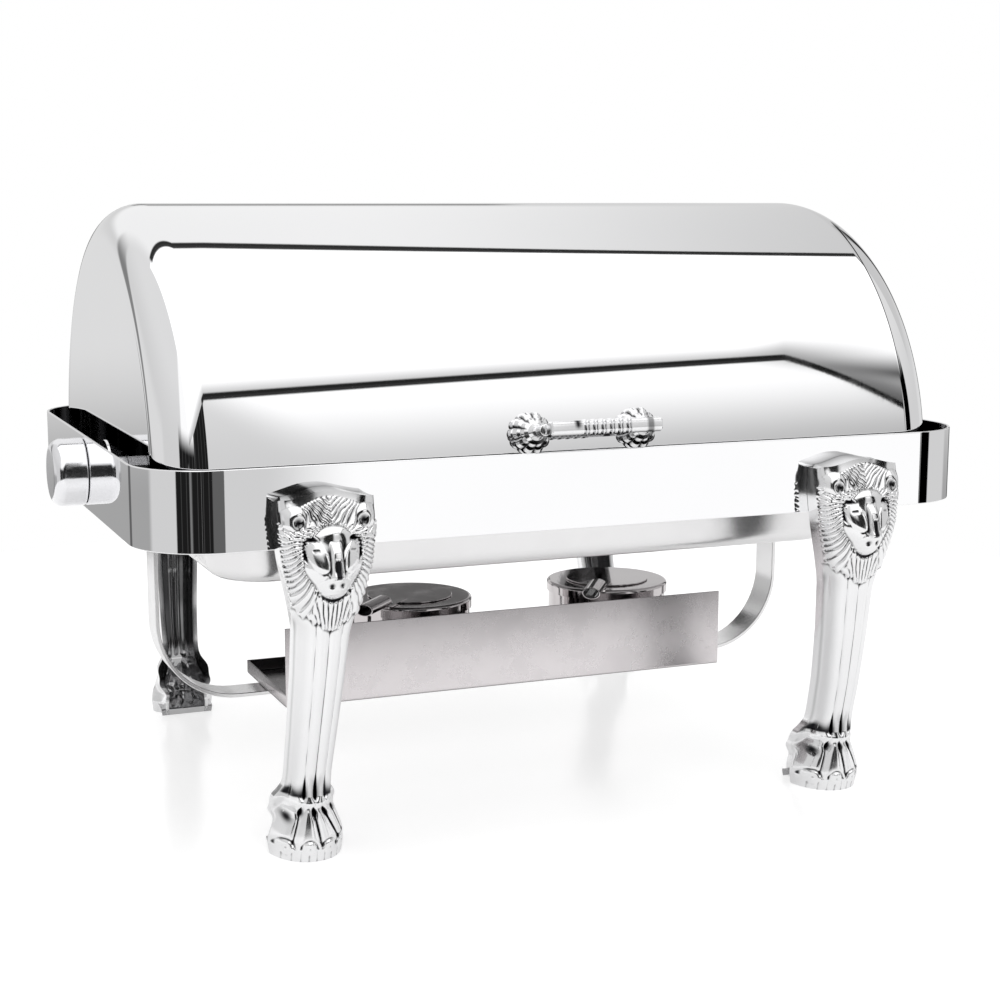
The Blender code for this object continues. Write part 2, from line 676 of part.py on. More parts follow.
def main():
    clear_scene()
    chrome = material("mirror_steel", (0.80, 0.80, 0.81), 0.05)
    cast = material("polished_casting", (0.78, 0.78, 0.79), 0.12)
    satin = material("satin_steel", (0.62, 0.61, 0.61), 0.35)
    plated = material("plated_steel", (0.55, 0.55, 0.56), 0.3)
    make_band(chrome)
    for end, end_name in ((-1, "front"), (1, "rear")):
        for side, sign in SIDES.items():
            name = "%s_%s_leg" % (end_name, side)
            make_leg(name, sign, end, cast)
            make_leg_bolts(name, sign, end, plated)
    make_lid(chrome)
    make_handle(cast, plated)
    for side in SIDES:
        make_pivot(side, chrome, plated)
        make_bracket(side, satin)
        make_burner(side, satin, plated)
    make_strap(satin)
    make_tray(satin)
    make_pan("water_pan", WATER_PAN, satin)
    make_pan("food_pan", FOOD_PAN, satin)


main()
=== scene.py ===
"""Looks of the roll-top chafing dish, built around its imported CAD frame.

Shapes are worked out in millimetres and turned into metres when a mesh is made. The floor is z = 0, -Y is
the front and the lid rolls about the line y = 0, z = PIVOT_Z.
"""
import functools
import json
import math

import bmesh
import bpy
import numpy as np
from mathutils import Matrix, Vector


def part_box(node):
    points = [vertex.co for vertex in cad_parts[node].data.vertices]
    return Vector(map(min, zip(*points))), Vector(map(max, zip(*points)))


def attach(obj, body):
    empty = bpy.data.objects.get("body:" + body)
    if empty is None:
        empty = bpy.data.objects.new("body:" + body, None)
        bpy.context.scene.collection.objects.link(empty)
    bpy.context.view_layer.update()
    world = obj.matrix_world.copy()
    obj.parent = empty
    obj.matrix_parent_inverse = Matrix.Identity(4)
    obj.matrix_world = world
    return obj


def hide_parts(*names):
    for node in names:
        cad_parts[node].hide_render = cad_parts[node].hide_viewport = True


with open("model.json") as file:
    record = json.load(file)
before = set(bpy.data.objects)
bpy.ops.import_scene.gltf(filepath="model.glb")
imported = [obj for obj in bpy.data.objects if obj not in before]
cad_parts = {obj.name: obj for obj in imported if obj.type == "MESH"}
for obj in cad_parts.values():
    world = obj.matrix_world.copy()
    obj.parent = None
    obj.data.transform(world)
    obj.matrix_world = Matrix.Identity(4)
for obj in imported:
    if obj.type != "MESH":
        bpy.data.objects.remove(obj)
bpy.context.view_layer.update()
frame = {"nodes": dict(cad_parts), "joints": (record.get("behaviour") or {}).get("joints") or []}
MM = 0.001
SIDES = {"left": -1, "right": 1}
ENDS = {"front": -1, "rear": 1}


# ---- sizes, read from the frame -----------------------------------------------------------------

def span(node):
    """Lowest and highest corner of a CAD node, in millimetres."""
    low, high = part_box(node)
    return np.array(low) / MM, np.array(high) / MM


def joint_place(name):
    """Where a joint's axis passes, in millimetres."""
    joint = next(j for j in frame["joints"] if j["name"] == name)
    return np.array(joint["pos_m"]) / MM


PIVOT_Z = joint_place("lid_roll")[2]
BAND_LOW, BAND_HIGH = span("frame_band")
LID_RADIUS = span("roll_top_lid")[1][2] - PIVOT_Z


# ---- meshes -------------------------------------------------------------------------------------

def step(value, low, high):
    """0 below low, 1 above high, and smooth between."""
    t = np.clip((value - low) / (high - low), 0, 1)
    return t * t * (3 - 2 * t)


def bell(distance):
    """1 at a distance of 0, falling smoothly to almost nothing at 2."""
    return np.exp(-distance ** 2)


def arc(centre, radius, start, end, steps):
    """Points on a circle from the angle start to the angle end, in degrees."""
    turn = np.radians(np.linspace(start, end, steps + 1))
    return np.stack([centre[0] + radius * np.cos(turn), centre[1] + radius * np.sin(turn)], axis=1)


def rounded(corners, radius, steps=6, closed=False):
    """A line through corners, each one replaced by an arc. radius is a number, or one for each corner."""
    corners = [np.array(c, float) for c in corners]
    radii = np.broadcast_to(radius, len(corners))
    points = []
    for i, corner in enumerate(corners):
        if not closed and i in (0, len(corners) - 1):
            points.append(corner)
            continue
        before = corners[i - 1] - corner
        after = corners[(i + 1) % len(corners)] - corner
        before, after = before / np.linalg.norm(before), after / np.linalg.norm(after)
        half = math.acos(np.clip(before @ after, -1, 1)) / 2
        if radii[i] == 0 or half > math.pi / 2 - 0.01:
            points.append(corner)
            continue
        reach = radii[i] / math.tan(half)
        middle = (before + after) / np.linalg.norm(before + after)
        centre = corner + middle * radii[i] / math.sin(half)
        first, last = corner + before * reach - centre, corner + after * reach - centre
        sweep = math.pi - 2 * half
        for k in np.linspace(0, 1, steps + 1):
            mixed = math.sin((1 - k) * sweep) * first + math.sin(k * sweep) * last
            points.append(centre + mixed / math.sin(sweep))
    return np.array(points)


def thickened(path, thick):
    """The closed outline of a sheet bent along an open path."""
    path = np.asarray(path, float)
    along = np.gradient(path, axis=0)
    along /= np.linalg.norm(along, axis=1, keepdims=True)
    across = np.stack([-along[:, 1], along[:, 0]], axis=1) * thick / 2
    return np.concatenate([path + across, (path - across)[::-1]])


def grid_faces(rows, columns):
    """Quads over rows of points, each row closing on itself."""
    faces = []
    for r in range(rows - 1):
        for c in range(columns):
            d = (c + 1) % columns
            faces.append((r * columns + c, r * columns + d, (r + 1) * columns + d, (r + 1) * columns + c))
    return faces


def loft(rings, ends="cap"):
    """A shell through closed rings. ends is cap, or join to run from the last ring to the first."""
    rings = [np.asarray(r, float) for r in rings]
    rows, columns = len(rings), len(rings[0])
    faces = grid_faces(rows, columns)
    last = (rows - 1) * columns
    if ends == "cap":
        faces += [tuple(range(columns)), tuple(range(last, last + columns))]
    else:
        for c in range(columns):
            d = (c + 1) % columns
            faces.append((last + c, last + d, d, c))
    return np.concatenate(rings), faces


def lathe(profile, axis="Z", at=(0, 0, 0), segments=72, petals=None):
    """Turn (radius, height) points about the X or Z axis. petals(angle, height) scales the radius."""
    profile = np.asarray(profile, float)
    closed = profile[0][0] > 0 or profile[-1][0] > 0
    turn = np.linspace(0, 2 * math.pi, segments, endpoint=False)
    rings = []
    for radius, height in profile:
        size = radius * (petals(turn, height) if petals else 1)
        a, b, h = size * np.cos(turn), size * np.sin(turn), np.full(segments, float(height))
        ring = {"X": (h, a, b), "Z": (a, b, h)}[axis]
        rings.append(np.stack(ring, axis=1) + np.array(at, float))
    return loft(rings, "join" if closed else "cap")


def extruded(outline, low, high, axis="Y"):
    """Extrude a closed outline along an axis. The outline's points are the other two axes, in order."""
    outline = np.asarray(outline, float)
    return loft([np.insert(outline, "XYZ".index(axis), place, axis=1) for place in (low, high)])


def turned(shell, axis, degrees):
    """Turn a shell about the X or Z axis through the origin."""
    c, s = math.cos(math.radians(degrees)), math.sin(math.radians(degrees))
    matrix = {"X": [[1, 0, 0], [0, c, -s], [0, s, c]], "Z": [[c, -s, 0], [s, c, 0], [0, 0, 1]]}[axis]
    points, faces = shell
    return points @ np.array(matrix, float).T, faces


def shade_by_place(points, values, digits):
    """A shade function that gives these points their values and any other point 0."""
    values_at = {tuple(np.round(p, digits)): v for p, v in zip(points, values)}

    def shade(places):
        return np.array([values_at.get(tuple(np.round(p, digits)), 0.0) for p in places])

    return shade


def piece(name, shells, material, body, nodes, crease=40, bevel=0.0, shade=None):
    """One visible piece made of closed shells. It rides on body and stands for the CAD nodes.

    shade(points) gives the painted shade at each point, from 0 to 1, for places that the light hardly
    reaches.
    A material that takes painted shade reads it. crease is in degrees and bevel in millimetres.
    """
    shells = [shells] if isinstance(shells, tuple) else shells
    points, faces = [], []
    for shell_points, shell_faces in shells:
        start = sum(len(p) for p in points)
        points.append(shell_points)
        faces += [tuple(start + i for i in face) for face in shell_faces]
    mesh = bpy.data.meshes.new(name)
    mesh.from_pydata((np.concatenate(points) * MM).tolist(), [], faces)
    work = bmesh.new()
    work.from_mesh(mesh)
    bmesh.ops.remove_doubles(work, verts=work.verts, dist=1e-6)
    bmesh.ops.dissolve_degenerate(work, edges=work.edges, dist=1e-7)
    bmesh.ops.recalc_face_normals(work, faces=work.faces)
    work.to_mesh(mesh)
    work.free()
    # store the painted shade on the vertices
    if shade:
        places = np.zeros(len(mesh.vertices) * 3)
        mesh.vertices.foreach_get("co", places)
        attribute = mesh.attributes.new("painted_shade", "FLOAT", "POINT")
        attribute.data.foreach_set("value", shade(places.reshape(-1, 3) / MM).astype(np.float32))
    mesh.shade_smooth()
    mesh.set_sharp_from_angle(angle=math.radians(crease))
    mesh.materials.append(material)
    obj = bpy.data.objects.new(name, mesh)
    bpy.context.scene.collection.objects.link(obj)
    if bevel:
        modifier = obj.modifiers.new("edges", "BEVEL")
        modifier.width = bevel * MM
        modifier.segments = 3
        modifier.limit_method = "ANGLE"
        modifier.angle_limit = math.radians(50)
    modifier = obj.modifiers.new("normals", "WEIGHTED_NORMAL")
    modifier.keep_sharp = True
    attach(obj, body)
    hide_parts(*nodes)
    return obj


# ---- materials ----------------------------------------------------------------------------------

class Graph:
    """Adds nodes to a material's or the world's node tree."""

    def __init__(self, owner):
        owner.use_nodes = True
        self.tree = owner.node_tree
        self.tree.nodes.clear()

    def node(self, kind, inputs=None, **settings):
        made = self.tree.nodes.new("ShaderNode" + kind)
        for key, value in settings.items():
            setattr(made, key, value)
        for key, value in (inputs or {}).items():
            if isinstance(value, bpy.types.NodeSocket):
                self.tree.links.new(value, made.inputs[key])
            else:
                made.inputs[key].default_value = value
        return made

    def math(self, operation, a, b=0.0, c=0.0):
        """One step of arithmetic on sockets or numbers."""
        return self.node("Math", {0: a, 1: b, 2: c}, operation=operation).outputs[0]

    def ramp(self, value, low, high, out_low=0.0, out_high=1.0):
        """Smooth change from out_low to out_high as value goes from low to high."""
        inputs = {"Value": value, "From Min": low, "From Max": high, "To Min": out_low, "To Max": out_high}
        return self.node("MapRange", inputs, interpolation_type="SMOOTHSTEP").outputs["Result"]

    def line(self, value, centre, half):
        """1 on a line at centre, with soft edges at half on either side."""
        away = self.math("ABSOLUTE", self.math("SUBTRACT", value, centre))
        return self.ramp(away, self.math("MULTIPLY", half, 0.5), half, 1.0, 0.0)

    def blend(self, factor, a, b):
        """a where factor is 0, b where it is 1."""
        inputs = {"Factor": factor, 2: a, 3: b}
        return self.node("Mix", inputs, data_type="FLOAT").outputs[0]

    def tint(self, factor, a, b):
        """Colour a where factor is 0, b where it is 1."""
        return self.node("Mix", {"Factor": factor, 6: a, 7: b}, data_type="RGBA").outputs[2]

    def noise(self, scale, detail=3.0, stretch=(1, 1, 1), roughness=0.5):
        """Noise through the object's own space, stretch times finer along each axis."""
        place = self.node("TexCoord").outputs["Object"]
        mapped = self.node("Mapping", {"Vector": place, "Scale": stretch}).outputs[0]
        inputs = {"Vector": mapped, "Scale": scale, "Detail": detail, "Roughness": roughness}
        return self.node("TexNoise", inputs).outputs["Fac"]

    def surface(self, shader):
        """Make shader the material's surface."""
        out = self.node("OutputMaterial")
        self.tree.links.new(shader, out.inputs["Surface"])


# noise scales, in features per metre
DRIFT, FINE, SMUDGE, RIPPLE = 9.0, 420.0, 38.0, 5.0
# depth of the fine relief, in metres
BRUSH_DEPTH, GRAIN_DEPTH = 6e-6, 1e-6
BRUSHED_ANISOTROPY = 0.4
# near-black colour of the painted shade in hollows, grooves and shaded faces
PAINTED_SHADE_COLOUR = (0.012, 0.012, 0.014, 1)


def metal(name, light, dark, rough, wave=0.0, brushed=None, painted_shade=False):
    """Steel whose colour and gloss drift a little over the surface.

    light and dark are its two colours, and rough the roughness of its clean and its smudged places. wave
    is the height of slow ripples in metres, and brushed the stretch of fine brush lines. With its last
    argument set, the painted shade stored on a piece darkens the colour.
    """
    material = bpy.data.materials.new(name)
    g = Graph(material)
    drift = g.noise(DRIFT, 4.0)
    fine = g.noise(FINE, 3.0, brushed or (1, 1, 1), 0.6)
    smudge = g.noise(SMUDGE, 5.0, (1, 1, 1), 0.65)
    colour = g.tint(drift, (*dark, 1), (*light, 1))
    if painted_shade:
        # painted shade: the shade stored on the piece darkens the colour
        groove = g.node("Attribute", attribute_name="painted_shade").outputs["Fac"]
        colour = g.tint(g.ramp(groove, 0.0, 1.0), colour, PAINTED_SHADE_COLOUR)
    clean, smudged = rough
    shine = g.math("MULTIPLY_ADD", g.ramp(smudge, 0.35, 0.75), smudged - clean, clean)
    shine = g.math("MULTIPLY_ADD", fine, (smudged - clean) * 0.5, shine)
    inputs = {"Base Color": colour, "Metallic": 1.0, "Roughness": shine}
    height = g.math("MULTIPLY", fine, BRUSH_DEPTH if brushed else GRAIN_DEPTH)
    if wave:
        height = g.math("MULTIPLY_ADD", g.noise(RIPPLE, 1.0), wave, height)
    inputs["Normal"] = g.node("Bump", {"Height": height, "Strength": 1.0, "Distance": 1.0}).outputs[0]
    shader = g.node("BsdfPrincipled", inputs)
    if brushed:
        shader.inputs["Anisotropic"].default_value = BRUSHED_ANISOTROPY
    g.surface(shader.outputs[0])
    return material


MIRROR = metal("mirror_steel", (0.95, 0.95, 0.955), (0.92, 0.92, 0.93), (0.01, 0.03), wave=5e-5)
BAND = metal("band_steel", (0.95, 0.95, 0.955), (0.92, 0.92, 0.93), (0.01, 0.03), wave=3e-5, painted_shade=True)
CAST = metal("polished_casting", (0.94, 0.94, 0.945), (0.88, 0.88, 0.89), (0.08, 0.17), painted_shade=True)
KNOB = metal("turned_steel", (0.92, 0.92, 0.94), (0.86, 0.86, 0.88), (0.08, 0.16), brushed=(1, 1, 30))
SATIN = metal("satin_steel", (0.86, 0.855, 0.858), (0.81, 0.805, 0.81), (0.18, 0.24), brushed=(1, 6, 6),
              painted_shade=True)
SHEET = metal("tray_steel", (0.82, 0.782, 0.793), (0.78, 0.744, 0.755), (0.22, 0.30), brushed=(1, 6, 6),
              painted_shade=True)
BURNER = metal("burner_steel", (0.66, 0.63, 0.635), (0.54, 0.51, 0.515), (0.04, 0.09), painted_shade=True)
PLATED = metal("plated_steel", (0.70, 0.70, 0.72), (0.60, 0.60, 0.62), (0.18, 0.3))


# ---- frame, lid and pivots ----------------------------------------------------------------------

def rounded_rectangle(half_x, half_y, radius, steps=20):
    """Points and outward directions round a rounded rectangle."""
    points, outward = [], []
    for sx, sy, start in ((1, 1, 0), (-1, 1, 90), (-1, -1, 180), (1, -1, 270)):
        centre = (sx * (half_x - radius), sy * (half_y - radius))
        points.append(arc(centre, radius, start, start + 90, steps))
        outward.append(arc((0, 0), 1, start, start + 90, steps))
    return np.concatenate(points), np.concatenate(outward)


def make_band():
    """The polished band, with painted shade on its inner face."""
    half_x, half_y, high = BAND_HIGH
    low = BAND_LOW[2]
    radius, wall, soft = 52, 2, 0.7
    # painted shade on the band's inner face
    inner_shade = 0.93
    path, outward = rounded_rectangle(half_x, half_y, radius)
    section = rounded([(0, low), (0, high), (-wall, high), (-wall, low)], soft, 4, closed=True)
    rings = []
    for point, out in zip(path, outward):
        ring = [(point[0] + out[0] * d, point[1] + out[1] * d, z) for d, z in section]
        rings.append(ring)

    def inside(points):
        """Painted shade for the points of the inner face."""
        reach = np.abs(points[:, :2]) - (np.array([half_x, half_y]) - radius)
        depth = radius - np.hypot(*np.maximum(reach, 0).T)
        return inner_shade * (depth > wall - 0.2)

    piece("band_shell", loft(rings, "join"), BAND, "stand", ["frame_band"], shade=inside)


def make_lid():
    """The half drum with its bullnose ends, its two hub plates and the seams at the end walls."""
    half, nose, sheet, seam, steps = 292.5, 31, 1.0, 1.2, 144
    hub_radius, hub_low, hub_high = 22, 290.2, 293.6
    wall = LID_RADIUS - nose
    right_out = [(half, 0), (half, wall - 2 * seam), (half + seam * 0.3, wall - seam)]
    right_out += list(arc((half - nose, wall), nose, 0, 90, 20))
    right_in = [(half - sheet, 0)] + list(arc((half - nose, wall), nose - sheet, 0, 90, 20))
    outer = right_out + [(-x, r) for x, r in reversed(right_out)]
    inner = right_in + [(-x, r) for x, r in reversed(right_in)]
    profile = outer + inner[::-1]
    rings = []
    for angle in np.linspace(0, math.pi, steps + 1):
        rings.append([(x, -r * math.cos(angle), PIVOT_Z + r * math.sin(angle)) for x, r in profile])
    shells = [loft(rings)]
    plate = rounded([(0, hub_low), (hub_radius, hub_low), (hub_radius, hub_high), (0, hub_high)], 0.6, 3)
    for sign in SIDES.values():
        shells.append(lathe([(r, sign * x) for r, x in plate], "X", (0, 0, PIVOT_Z)))
    piece("lid_shell", shells, MIRROR, "lid", ["roll_top_lid"], crease=50)


def make_knobs():
    """Two turned caps, rounded at their outer ends."""
    for side, sign in SIDES.items():
        low, high = span(side + "_knob_cap")
        radius = high[1]
        start, end = sorted((abs(low[0]), abs(high[0])))
        cap = rounded([(0, start), (radius, start), (radius, end), (0, end)], [0, 1.2, 8.0, 0], 12)
        piece(side + "_knob_cap_turned", lathe([(r, sign * x) for r, x in cap], "X", (0, 0, PIVOT_Z), 96),
              KNOB, side + "_knob", [side + "_knob_cap"])


# ---- legs ---------------------------------------------------------------------------------------

LEG_X = 196
LEG_SPLAY = 5
LEG_WALL = 4
MANE_BOTTOM, LEG_TOP = 154, 250
# height, half width, back and front of the casting
LEG_STATIONS = np.array([
    (0, 26.5, 167, 211),
    (4, 28, 166, 214),
    (14, 27.5, 166, 214),
    (28, 21.5, 171, 212),
    (40, 16, 179, 209.5),
    (52, 15, 185, 210),
    (85, 16, 194.5, 219),
    (125, 17.5, 203, 228),
    (160, 19, 208, 234),
    (178, 23.5, 211.3, 237),
    (202, 29.5, 213.8, 240),
    (225, 32.5, 213.8, 238),
    (250, 32.5, 213.8, 232),
], float)


def leg_measures(z):
    """Half width, back and front at each height, smoothed between the stations."""
    spread = np.linspace(-5, 5, 9)
    rows = []
    for column in (1, 2, 3):
        near = [np.interp(z + d, LEG_STATIONS[:, 0], LEG_STATIONS[:, column]) for d in spread]
        rows.append(np.mean(near, axis=0))
    return rows


def waves(phase, sharpness=0.7):
    """Rounded ridges one unit apart with narrow grooves between, from 0 to 1."""
    return np.abs(np.sin(np.pi * phase)) ** sharpness


def lion_face(x, z):
    """The lion's face, hair and mane: large forms, fine strands, and the painted shade in its hollows."""
    a = np.abs(x)
    brow, crown = 229.5 - 0.012 * a ** 2, 246 - 0.012 * a ** 2
    face = np.hypot(a / (13 + 6 * step(z, 184, 204)), (z - 204) / 24)
    # the rounded head, then muzzle, chin, nose bridge, nose tip, brow and cheeks
    lift = 7.5 * np.clip(1 - face ** 2, 0, 1)
    lift += 4.0 * bell(np.hypot(a / 12.5, (z - 192) / 9.5))
    lift += 1.5 * bell(np.hypot(a / 12, (z - 186) / 4.5))
    bridge = step(4.8 - 0.04 * (z - 196) - a, 0, 1.6) * step(z, 195.5, 198) * step(220 - z, 0, 8)
    recess = step(2.0 - a, 0, 0.6) * step(z, 195.5, 196.5) * step(209 - z, 0, 1.5)
    lift += 3.0 * bridge - 1.2 * recess
    lift += 2.0 * bell(np.hypot(a / 6, (z - 196.5) / 3))
    lift += 2.2 * bell(np.hypot(a / 17, (z - 225) / 4.6))
    # half-closed eyes: long leaves with a shadowed socket at the top and the outside
    across, up = a - 10.8 - 0.30 * (z - 209.5), z - 209.5
    reach = np.hypot(across / 6.4, up / 9.6)
    lift += 1.2 * np.clip(1 - reach ** 4, 0, None)
    outside = step(0.75 * across / 6.4 + 0.85 * up / 9.6, 0.25, 0.9)
    socket = bell((reach - 1.14) / 0.14) * outside
    lid_mark = bell((up - 4.0 + 0.12 * across) / 0.7) * step(2.6 - np.abs(across), 0, 1.2)
    lift -= 2.2 * socket + 0.6 * lid_mark
    # nostrils, mouth and chin
    nostril = bell(np.hypot((a - 3.4) / 1.7, (z - 191.6) / 1.7))
    crease = bell((z - 197.5 + 0.9 * (a - 6.5)) / 0.9) * step(a, 6, 7) * step(13 - a, 0, 3)
    lift -= 1.6 * nostril + 0.5 * crease
    lift -= 0.4 * bell((z - 187.4 + 0.010 * a ** 2) / 0.6) * step(11.5 - a, 0, 2)
    lift -= 1.0 * bell((z - 180.6 - 0.05 * a ** 2) / 1.3) * step(13 - a, 0, 2)
    # ears, leaning outwards, open towards the face
    ear = np.hypot((a - 24.2) / 7.8, (z - 234) / 8.6)
    cup = bell(np.hypot((a - 21.4) / 3.2, (z - 230.8) / 3.8))
    lift += 2.6 * np.clip(1.1 - ear ** 2, 0, 1) - 2.6 * cup
    # hair over the brow
    slope = 0.15 + 0.7 * step(z, 224, 240)
    drift = 0.22 * np.sin(0.31 * x + 0.17 * z) + 0.12 * np.sin(0.9 * x - 0.4 * z)
    hair = waves((z - slope * a - 0.010 * a ** 2) / 3.2 + drift)
    over_brow = step(z - brow, -0.8, 0.8) * step(crown - z, -0.5, 1.5) * step(ear, 1.0, 1.1)
    # mane round the face and beard under it
    fan = np.degrees(np.arctan2(z - 218 + 0.008 * a ** 2, a))
    mane = waves(fan / 7.0 + 0.25 + 0.6 * drift)
    beard = waves(np.degrees(np.arctan2(x, z - 138)) / 4.6 + 0.5 * drift)
    strands = mane + (beard - mane) * step(13.5 - a, 0, 3) * step(182 - z, 0, 3)
    round_face = step(face, 1.0, 1.06) * step(brow - z, -0.8, 0.8) * step(ear, 1.0, 1.1)
    tips = 1.2 * np.sin(0.9 * a + 1.0) + 0.7 * np.sin(2.1 * a)
    edge = 158.5 + 0.62 * np.minimum(a, 22) + tips * step(a, 2, 6)
    in_mane = step(z - edge, 0, 2.2)
    fine = (1.6 * hair - 0.6) * over_brow + (1.6 * strands - 0.6) * round_face * in_mane
    lift += 1.6 * in_mane
    # painted shade in the nose recess, nostrils, eye sockets, eyelid marks and ear cups
    dark = np.maximum.reduce([0.95 * recess, nostril, socket, 0.7 * lid_mark, cup])
    return lift, fine, dark


def paw(x, z, half):
    """Toes, claws, knuckles and the ribbed rim of the foot, and the painted shade in their hollows."""
    share = np.clip((33 - z) / 18, -0.3, 1.3)
    gaps = [a + (b - a) * share for a, b in ((-9.5, -14.3), (-0.9, 2.6), (6.3, 16), (13.5, 22))]
    edges = [-half * 1.02] + gaps + [half * 1.02]
    lobes = np.zeros_like(x)
    for low, high in zip(edges, edges[1:]):
        t = np.clip((x - low) / np.maximum(high - low, 1), 0, 1)
        lobes = np.maximum(lobes, np.sin(np.pi * t) ** 0.55 * ((x >= low) & (x <= high)))
    toes = step(z, 9, 14) * step(38 - z, 0, 5)
    lift = (4.0 * lobes - 2.1) * toes
    pits = bell(np.hypot((x + 16.7) / 2.6, (z - 29) / 3.6))
    for gap in gaps:
        pits = np.maximum(pits, bell(np.hypot((x - gap) / 2.0, (z - 33) / 2.8)))
    lift -= 1.8 * pits
    knuckles = waves(x / (half * 0.47), 0.5)
    lift += (1.3 + 1.0 * knuckles) * bell((z - 39.5) / 3.4)
    for centre in (-19, -5, 9, 20):
        reach = np.hypot((x - centre) / 4.8, (z - 9.5) / 5.2)
        nail = bell((reach - 1.1) / 0.16) * step(z, 8.5, 10)
        lift += 1.4 * np.clip(1 - reach ** 2, 0, None) - 1.1 * nail
        lift -= 0.9 * bell(np.hypot((x - centre) / 1.0, (z - 9.5) / 1.0))
    lift -= 0.5 * waves(x / 5.2 + 0.5, 14) * step(9 - z, 0, 1.5)
    # the pits between and beside the toes carry painted shade
    return lift, pits


def leg_relief(x, z, half):
    """Everything cast on the front of the leg: its lift along -Y, its fine relief, and its painted shade."""
    a = np.abs(x)
    lift, fine, dark = lion_face(x, z)
    lift *= step(z, 157, 161)
    pitch = half * 0.475
    flutes = waves(x / pitch, 0.6) * step(2.04 * pitch - a, 0, 0.6)
    deeper = 1.5 + 2.2 * step(62 - z, 0, 16)
    below_mane = 1 - step(z - 0.62 * a, 158.5, 161)
    shaft = step(z, 40.5, 44) * step(171 - z, 0, 9) * below_mane
    fine = fine + deeper * (flutes - 0.7) * shaft
    toes, pits = paw(x, z, half)
    lift = lift + toes * step(45 - z, 0, 3)
    # painted shade along the sides of the shaft and round the rim of the sole
    rims = 0.42 * step(a / half, 0.955, 1.0) + 0.16 * step(a / half, 0.55, 0.8)
    sole_rims = 0.22 * step(a / half, 0.75, 1) * step(44 - z, 0, 4)
    dark = np.maximum(dark * step(z, 157, 161), rims * shaft + sole_rims)
    return lift, fine, np.maximum(dark, pits * step(45 - z, 0, 3))


def blurred(values, reach):
    """Box blur along both axes of a grid."""
    for axis in (0, 1):
        padding = [(reach, reach) if i == axis else (0, 0) for i in (0, 1)]
        padded = np.pad(values, padding, mode="edge")
        total = np.cumsum(padded, axis=axis)
        total = np.insert(total, 0, 0, axis=axis)
        window = 2 * reach + 1
        upper = np.take(total, range(window, total.shape[axis]), axis=axis)
        lower = np.take(total, range(0, total.shape[axis] - window), axis=axis)
        values = (upper - lower) / window
    return values


def leg_rows():
    """Heights of the rows of points, closer together at the lion's head and the paw."""
    paw_top = 44
    return np.concatenate([np.arange(0, paw_top, 0.8), np.arange(paw_top, MANE_BOTTOM, 2.5),
                           np.arange(MANE_BOTTOM, LEG_TOP + 0.1, 0.62)])


def leg_front(columns):
    """The sculpted skin of a front leg with no splay, as a grid of points and the painted shade at each one.
    """
    heights = leg_rows()
    half, back, front = leg_measures(heights)
    power = 2 / (2.2 + 0.5 * step(heights, 30, 60) + 1.4 * step(heights, 150, 185))
    dense = np.linspace(-math.pi / 2, math.pi / 2, 700)
    grid = np.zeros((len(heights), columns, 3))
    for row, z in enumerate(heights):
        x = half[row] * np.sign(dense) * np.abs(np.sin(dense)) ** power[row]
        out = (front[row] - back[row]) * np.abs(np.cos(dense)) ** power[row]
        length = np.concatenate([[0], np.cumsum(np.hypot(np.diff(x), np.diff(out)))])
        places = np.linspace(0, length[-1], columns)
        grid[row, :, 0] = np.interp(places, length, x)
        grid[row, :, 1] = -back[row] - np.interp(places, length, out)
        grid[row, :, 2] = z
    x, z = grid[..., 0], grid[..., 2]
    proud = -grid[..., 1] - back[:, None]
    mask = step(proud, 5, 10)
    lift, fine, dark = leg_relief(x, z, half[:, None])
    grid[..., 1] -= lift * mask
    heel = 0.35 * step(20 - proud, 0, 16) * step(28 - z, 0, 12)
    grid[..., 0] *= 1 - heel
    grid[..., 0] += np.sign(x) * 4.2 * bell((z - 38) / 6.5) * step(14 - proud, 0, 8)
    normal = np.cross(np.gradient(grid, axis=1), np.gradient(grid, axis=0))
    normal /= np.linalg.norm(normal, axis=2, keepdims=True)
    grid += normal * (fine * step(proud, 9, 15))[..., None]
    height = -grid[..., 1]
    # painted shade in the grooves, where the surface lies below its blurred surroundings, and in the hollows
    groove = np.clip((blurred(height, 5) - height - 0.10) / 0.8, 0, 1)
    painted_shade = np.maximum(groove, dark) * mask
    # the top edge falls off towards the sides
    side = np.abs(x)
    drop = 5.5 * step(side, 2, 31) + 3.0 * step(side, 30, 34.5)
    grid[..., 2] -= drop * np.clip((z - 225) / 25, 0, 1) ** 2
    return grid, painted_shade


def splayed(points):
    """Move points outwards as the foot does, for a leg that stands on the +X side."""
    shift = LEG_SPLAY * step(190 - points[..., 2], 0, 150)
    moved = points.copy()
    moved[..., 0] += LEG_X + shift
    return moved


